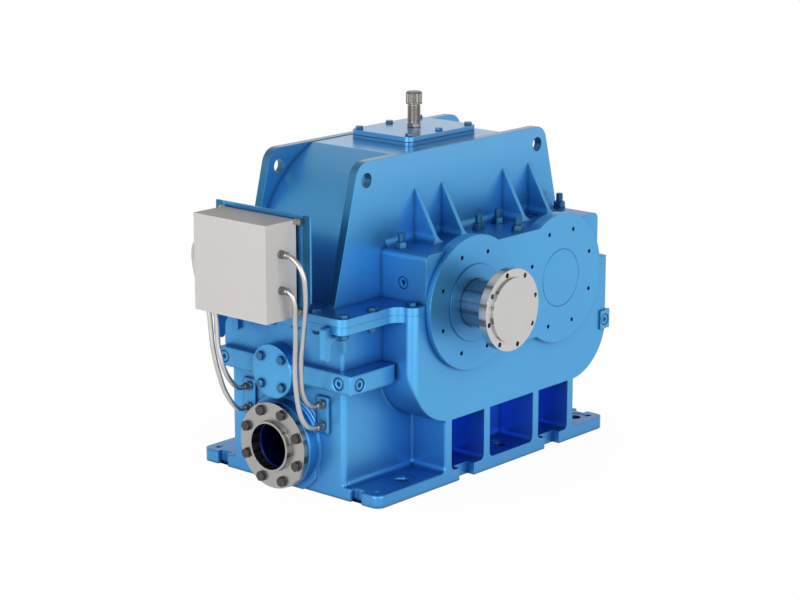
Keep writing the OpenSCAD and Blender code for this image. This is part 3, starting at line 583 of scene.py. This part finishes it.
def conduit(name, finish):
    """A wound steel conduit: rings of two radii along the route, joined one to the next."""
    path = smooth_route([Vector(p) for p in ROUTES[name]], CONDUIT_PITCH / 2)
    part = bmesh.new()
    rings = []
    heading = path[1] - path[0]
    turn = heading.to_track_quat("Z", "Y")
    for i, point in enumerate(path):
        ahead = (path[min(i + 1, len(path) - 1)] - path[max(i - 1, 0)]).normalized()
        turn = (turn @ Z).rotation_difference(ahead) @ turn
        radius = CONDUIT_RADIUS if i % 2 else CONDUIT_ROOT
        ring = bmesh.ops.create_circle(part, cap_ends=i in (0, len(path) - 1), segments=16, radius=radius,
                                       matrix=Matrix.Translation(point) @ turn.to_matrix().to_4x4())
        loop = {e for v in ring["verts"] for e in v.link_edges}
        if rings:
            bmesh.ops.bridge_loops(part, edges=list(loop | rings[-1]))
        rings.append(loop)
    return show(name + "_hose", seal(part), finish, replaces=[name], sharp=60)


def gland():
    """A cable gland along +Z: hexagon, knurled ring, thread and dome nut."""
    whole = bmesh.new()
    add_part(whole, hexagon(26 * MM, 7 * MM, True), Matrix.Translation((0, 0, 1 * MM)))
    add_part(whole, spun(ring_profile(0, 1.2 * MM, 9 * MM, 14 * MM, 0.3 * MM), Vector(), Z, 40))
    knurl = bmesh.new()
    bmesh.ops.create_cone(knurl, cap_ends=True, segments=56, radius1=12 * MM, radius2=12 * MM, depth=9 * MM,
                          matrix=Matrix.Translation((0, 0, 13 * MM)))
    for vert in knurl.verts:
        if round(math.atan2(vert.co.y, vert.co.x) / math.tau * 56) % 2:
            vert.co.xy *= 0.93
    add_part(whole, seal(knurl))
    add_part(whole, hexagon(23.5 * MM, 8 * MM, True), Matrix.Translation((0, 0, 18.2 * MM)))
    dome = [(26 * MM, 8.9 * MM), (26 * MM, 11 * MM), (28 * MM, 10.6 * MM), (29.6 * MM, 9.8 * MM),
            (30 * MM, 8.9 * MM)]
    add_part(whole, spun(dome, Vector(), Z, 40))
    return whole


def glands(name, node, finish):
    """The glands of a CAD node, each aimed away from the wall that carries it."""
    whole = bmesh.new()
    template = gland()
    for lo, hi in island_boxes(node):
        size = hi - lo
        middle = (lo + hi) / 2
        if size.x > size.y:
            seat = Vector((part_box("gland_plates")[0].x, middle.y, middle.z))
            axis = -X
        else:
            side = 1 if middle.y > 0 else -1
            seat = Vector((middle.x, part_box("terminal_hood")[1].y * side, middle.z))
            axis = Y * side
        add_part(whole, template, aim(seat, axis, 0.3 * middle.z), keep=True)
    template.free()
    return show(name, whole, finish, replaces=[node])


def bolt(across, head, radius, below, washer_radius, nut=None, tip=None):
    """A hexagon bolt along +Z with its seat at the origin, a washer under its head and maybe a nut."""
    whole = bmesh.new()
    washer = 2.2 * MM
    add_part(whole, spun(ring_profile(0, washer, radius * 0.9, washer_radius, 0.5 * MM), Vector(), Z, 36))
    add_part(whole, hexagon(across, head - washer), Matrix.Translation((0, 0, washer)))
    add_part(whole, spun(disc_profile(-below, 0.5 * MM, radius, 0.8 * MM), Vector(), Z, 24))
    if nut:
        top, height = nut
        add_part(whole, hexagon(across, height, True), Matrix.Translation((0, 0, top - height)))
    if tip:
        add_part(whole, spun(threaded_end(radius, head - 1 * MM, tip, 2.4 * MM), Vector(), Z, 24))
    return whole


def bolts(name, node, template_of, axis, finish, body="casing"):
    """Detailed bolts in the place of a CAD node's solids, each turned a little differently."""
    whole = bmesh.new()
    for i, (lo, hi) in enumerate(island_boxes(node)):
        template, seat = template_of(lo, hi)
        add_part(whole, template, aim(seat, axis(lo, hi) if callable(axis) else axis, 0.7 * i))
    return show(name, whole, finish, body, [node])


def breather(finish):
    """The breather on the hatch: a hexagon foot, a ringed barrel and a fluted cap."""
    lo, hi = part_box("breather_body")
    foot = Vector(((lo.x + hi.x) / 2, (lo.y + hi.y) / 2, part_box("hatch_cover")[1].z))
    body = bmesh.new()
    add_part(body, hexagon(41 * MM, 14 * MM, True))
    barrel = [(13 * MM, 0), (13 * MM, 19.5 * MM)]
    for i in range(9):
        start = (20 + 6 * i) * MM
        barrel += [(start - 0.4 * MM, 19.5 * MM), (start, 21.6 * MM), (start + 0.6 * MM, 22 * MM),
                   (start + 2.4 * MM, 22 * MM), (start + 3 * MM, 21.6 * MM), (start + 3.4 * MM, 19.5 * MM)]
    add_part(body, spun(barrel + [(78 * MM, 19.5 * MM), (78 * MM, 0)], Vector(), Z, 48))
    add_part(body, spun(disc_profile(-15 * MM, 1 * MM, 13 * MM, 1 * MM), Vector(), Z, 32))
    body.transform(Matrix.Translation(foot))
    show("breather_barrel", body, finish, replaces=["breather_body"])

    cap = bmesh.new()
    flutes = bmesh.new()
    bmesh.ops.create_cone(flutes, cap_ends=True, segments=96, radius1=27.2 * MM, radius2=27.2 * MM,
                          depth=31 * MM, matrix=Matrix.Translation((0, 0, 20.5 * MM)))
    for vert in flutes.verts:
        step = round(math.atan2(vert.co.y, vert.co.x) / math.tau * 96) % 6
        vert.co.xy *= (1.0, 1.0, 0.96, 0.89, 0.89, 0.96)[step]
    add_part(cap, seal(flutes))
    add_part(cap, spun(disc_profile(0, 6 * MM, 27.4 * MM, 1.2 * MM), Vector(), Z, 48))
    add_part(cap, spun(disc_profile(35 * MM, 41 * MM, 26.5 * MM, 2.5 * MM), Vector(), Z, 48))
    cap.transform(Matrix.Translation(foot + Z * 78 * MM))
    show("breather_top", cap, finish, replaces=["breather_cap"])


def upright(lo, hi, level):
    return Vector(((lo.x + hi.x) / 2, (lo.y + hi.y) / 2, level))


def add_area_light(name, place, target, width, height, power):
    lamp = bpy.data.lights.new(name, "AREA")
    lamp.shape = "RECTANGLE"
    lamp.size = width
    lamp.size_y = height
    lamp.energy = power
    holder = bpy.data.objects.new(name, lamp)
    bpy.context.scene.collection.objects.link(holder)
    holder.location = place
    holder.rotation_mode = "QUATERNION"
    holder.rotation_quaternion = (Vector(target) - Vector(place)).to_track_quat("-Z", "Y")


def add_world():
    """A soft room: bright at the horizon, darker overhead, and plain white behind the object."""
    finish = Finish(bpy.data.worlds.new("studio"))
    bpy.context.scene.world = finish.owner
    paths = finish.node("LightPath").socket.node.outputs
    seen = Value(finish, paths["Is Camera Ray"])
    mirrored = Value(finish, paths["Is Glossy Ray"]).above(Value(finish, paths["Is Transmission Ray"]))
    upward = finish.axes(finish.node("TexCoord", output="Generated"))[2]
    dome = finish.node("ValToRGB", {"stops": [(0.0, 0.95), (0.40, 0.95), (0.70, 0.55), (1.0, 0.18)]},
                       {"Fac": upward})
    shade = finish.mix(seen, dome, (1.0, 1.0, 1.0))
    strength = seen + (1 - seen) * (0.40 + mirrored * 0.60)
    finish.node("OutputWorld", None,
                {"Surface": finish.node("Background", None, {"Color": shade, "Strength": strength})})


def add_floor():
    """A pale floor that reads white to the camera, keeps a faint shadow and has painted shade, a dark navy,
    under the base plate.
    """
    part = bmesh.new()
    bmesh.ops.create_grid(part, x_segments=1, y_segments=1, size=60)
    bmesh.ops.translate(part, vec=(0, 0, CAD_BOX[0].z - 0.2 * MM), verts=part.verts)
    mesh = bpy.data.meshes.new("floor")
    part.to_mesh(mesh)
    part.free()
    finish = new_finish("pale_floor")
    paths = finish.node("LightPath").socket.node.outputs
    seen = Value(finish, paths["Is Camera Ray"])
    for kind in ("Is Glossy Ray", "Is Transmission Ray"):
        seen = seen.above(Value(finish, paths[kind]))
    x, y, _ = finish.axes(finish.place())
    distance = (x * x + y * y) ** 0.5
    share = (distance * 0.06 + 0.94).below(1.0)
    # Painted shade: the floor under the base plate is a dark navy, so the holes in the feet read dark.
    under = x.within(FOOTPRINT[0]) * y.within(FOOTPRINT[1])
    matt = finish.node("BsdfDiffuse", None, {"Color": (0.86, 0.86, 0.86, 1)})
    glow = finish.node("Emission", None, {"Color": (1, 1, 1, 1), "Strength": 1.0})
    dark = finish.node("BsdfDiffuse", None, {"Color": (0.010, 0.020, 0.060, 1)})
    blend = finish.node("MixShader", None, {0: seen * share, 1: matt, 2: glow})
    whole = finish.node("MixShader", None, {0: under, 1: blend, 2: dark})
    finish.node("OutputMaterial", None, {"Surface": whole})
    mesh.materials.append(finish.owner)
    floor = bpy.data.objects.new("floor", mesh)
    bpy.context.scene.collection.objects.link(floor)


BOX_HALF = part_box("terminal_hood")[1].y

add_camera()

painted = blue_paint("blue_machine_paint")
# The bolts take a darker copy of the blue paint, as painted shade.
shaded_bolt_paint = blue_paint("shaded_blue_bolt_paint", 0.45)
powder = box_paint()
flange_centre = (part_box("coupling_flange")[0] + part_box("coupling_flange")[1]) / 2
pinion_centre = (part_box("pinion_shaft")[0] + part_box("pinion_shaft")[1]) / 2
outlet_centre = (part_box("outlet_flange")[0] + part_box("outlet_flange")[1]) / 2
flange_steel = turned_steel("turned_flange_steel", STEEL, flange_centre, "Y", 0.20, 0.75)
shaft_steel = turned_steel("ground_shaft_steel", SHAFT_STEEL, flange_centre, "Y", 0.16, 0.5)
pinion_steel = turned_steel("ground_pinion_steel", SHAFT_STEEL, pinion_centre, "Y", 0.16)
outlet_steel = turned_steel("turned_outlet_steel", OUTLET_STEEL, outlet_centre, "X", 0.24, 0.75)
bright_metal = plain_metal("nickel_plate", (0.52, 0.50, 0.48), 0.22, 80.0)
hose_metal = plain_metal("wound_hose_metal", (0.540, 0.530, 0.515), 0.36, 120.0)
black_metal = plain_metal("blackened_steel", BLACK_STEEL, 0.34, 150.0, (0.30, 0.29, 0.28))
brass_metal = plain_metal("yellow_zinc", BRASS, 0.35, 90.0)
gland_metal = plain_metal("dull_nickel", (0.300, 0.290, 0.280), 0.24, 80.0)
breather_metal = plain_metal("aged_nickel", (0.230, 0.215, 0.200), 0.30, 60.0)
screw_black = plain_metal("blue_black_steel", (0.006, 0.014, 0.075), 0.40, 150.0)
# A dark metal for the painted shade round the oil plugs.
plug_shade_metal = plain_metal("painted_plug_shade", (0.008, 0.060, 0.200), 0.40, 150.0)
bronze_metal = plain_metal("bearing_bronze", BRONZE, 0.30, 60.0)
rubber = soft_black()

for letter in "abcd":
    conduit("conduit_" + letter, hose_metal)

# Castings and plates keep the CAD shape, with their edges broken.
for node in ("lower_casing", "upper_casing"):
    NODES[node].data.materials.clear()
    NODES[node].data.materials.append(painted)

ROUNDED = {
    "hatch_cover": (2.0, painted, "blue_paint", "casing"),
    "wheel_cover_rear": (1.5, painted, "blue_paint", "casing"),
    "pinion_cover_rear": (1.5, painted, "blue_paint", "casing"),
    "wheel_seal_ring": (1.0, painted, "blue_paint", "casing"),
    "pinion_seal_ring": (1.0, painted, "blue_paint", "casing"),
    "port_cover": (1.5, painted, "blue_paint", "casing"),
    "gland_plates": (1.2, painted, "blue_paint", "casing"),
    "bracket_plate": (1.2, painted, "blue_paint", "casing"),
    "gallery_plugs": (1.2, painted, "blue_paint", "casing"),
    "terminal_hood": (2.2, powder, "box_paint", "casing"),
    "terminal_base": (1.0, powder, "box_paint", "casing"),
    "outlet_flange": (1.6, outlet_steel, "steel", "casing"),
    "coupling_flange": (1.5, flange_steel, "steel", "wheel"),
    "flange_end_plate": (1.2, flange_steel, "steel", "wheel"),
    "wheel_shaft": (1.5, shaft_steel, "steel", "wheel"),
}
for node, (width, finish, slot, body) in ROUNDED.items():
    part = cad_copy(node)
    bmesh.ops.dissolve_limit(part, angle_limit=math.radians(0.5), verts=part.verts, edges=part.edges)
    round_edges(part, width * MM)
    show(node + "_finished", part, finish, body, [node])

# Painted shade: each oil plug sits in a dark ring, and a dark disc fills its socket, where the seat and the
# socket lie in shade.
rings = bmesh.new()
for lo, hi in island_boxes("gallery_plugs"):
    size = hi - lo
    thin = min(range(3), key=lambda i: size[i])
    radius = max(size) / 2
    middle = (lo + hi) / 2
    out = (-X, Y if middle.y > 0 else -Y, Z)[thin]
    face = middle + out * size[thin] / 2
    ring = ring_profile(-1 * MM, 1.4 * MM, radius - 1.8 * MM, radius + 0.8 * MM, 0.2 * MM)
    add_part(rings, spun(ring, face, out, 48))
    add_part(rings, spun(disc_profile(-3 * MM, -1.5 * MM, 0.4 * radius, 0.2 * MM), face, out, 6))
show("gallery_plug_shade_rings", rings, plug_shade_metal)

# The two front bearing covers read as one cast face, so their seam is closed here.
covers = bmesh.new()
for node in ("wheel_cover_front", "pinion_cover_front"):
    add_part(covers, cad_copy(node))
seam_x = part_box("wheel_cover_front")[1].x
seam = [f for f in covers.faces if all(abs(v.co.x - seam_x) < 1e-5 for v in f.verts)]
bmesh.ops.delete(covers, geom=seam, context="FACES")
bmesh.ops.remove_doubles(covers, verts=covers.verts, dist=1e-5)
bmesh.ops.dissolve_limit(covers, angle_limit=math.radians(0.5), verts=covers.verts, edges=covers.edges)
round_edges(covers, 3 * MM, 3)
show("front_cover_face", covers, painted, replaces=["wheel_cover_front", "pinion_cover_front"])

for node, finish in {
    "gear_wheel": pinion_steel, "pinion_shaft": pinion_steel, "spray_pipe": bright_metal,
    "terminal_rail": bright_metal, "dowel_pins": bright_metal, "hatch_gasket": rubber,
    "wheel_bearing_front": bronze_metal, "wheel_bearing_rear": bronze_metal,
    "pinion_bearing_front": bronze_metal, "pinion_bearing_rear": bronze_metal,
    "bearing_cover_screws": screw_black, "terminal_screws": brass_metal, "flange_screws": black_metal,
}.items():
    NODES[node].data.materials.clear()
    NODES[node].data.materials.append(finish)

glands("casing_gland_set", "casing_glands", gland_metal)
glands("box_gland_set", "box_glands", gland_metal)
breather(breather_metal)


M20_RADIUS = 10 * MM
M20_ACROSS = 30 * MM
M20_HEAD = 13 * MM
M12_RADIUS = 6 * MM


def endwise(lo, hi, head):
    """The seat of a bolt that points along -X, under its head."""
    return Vector((lo.x + head, (lo.y + hi.y) / 2, (lo.z + hi.z) / 2))


def joint_bolt(lo, hi):
    blind = abs(lo.y + hi.y) / 2 > 350 * MM
    nut = None if blind else (-49 * MM, 16 * MM)
    return (bolt(M20_ACROSS, M20_HEAD, M20_RADIUS, hi.z - lo.z - M20_HEAD, 19 * MM, nut),
            upright(lo, hi, hi.z - M20_HEAD))


def stud(lo, hi):
    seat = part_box("gallery_plugs")[1].z
    return (bolt(35 * MM, 22 * MM, 12 * MM, 60 * MM, 22 * MM, tip=hi.z - seat),
            upright(lo, hi, seat))


def bracket_bolt(lo, hi):
    nut = (-59 * MM, 16 * MM)
    return (bolt(M20_ACROSS, M20_HEAD, M20_RADIUS, hi.z - lo.z - M20_HEAD, 18 * MM, nut),
            upright(lo, hi, hi.z - M20_HEAD))


def hatch_bolt(lo, hi):
    head = 10 * MM
    return bolt(22 * MM, head, M12_RADIUS, 38 * MM, 13 * MM), upright(lo, hi, hi.z - head)


def outlet_bolt(lo, hi):
    return bolt(M20_ACROSS, M20_HEAD, M20_RADIUS, 56 * MM, 17 * MM), endwise(lo, hi, M20_HEAD)


def port_bolt(lo, hi):
    head = 11 * MM
    return bolt(26 * MM, head, M12_RADIUS, 48 * MM, 15 * MM), endwise(lo, hi, head)


bolts("joint_bolt_set", "joint_bolts", joint_bolt, Z, shaded_bolt_paint)
bolts("bearing_stud_set", "bearing_studs", stud, Z, shaded_bolt_paint)
bolts("bracket_bolt_set", "bracket_bolts", bracket_bolt, Z, shaded_bolt_paint)
bolts("hatch_bolt_set", "hatch_bolts", hatch_bolt, Z, shaded_bolt_paint)
bolts("outlet_bolt_set", "outlet_bolts", outlet_bolt, -X, black_metal)
bolts("port_bolt_set", "port_bolts", port_bolt, -X, shaded_bolt_paint)

add_floor()
add_world()
add_area_light("front_softbox", (-1.5, -6.5, 1.6), (0, 0, 0.5), 5.0, 3.0, 170)
add_area_light("end_softbox", (-6.5, -1.0, 1.8), (0, 0, 0.5), 4.0, 3.0, 220)
add_area_light("top_softbox", (0.5, 1.0, 5.5), (0, 0, 0.6), 4.0, 4.0, 20)

bpy.context.scene.view_settings.view_transform = "Standard"
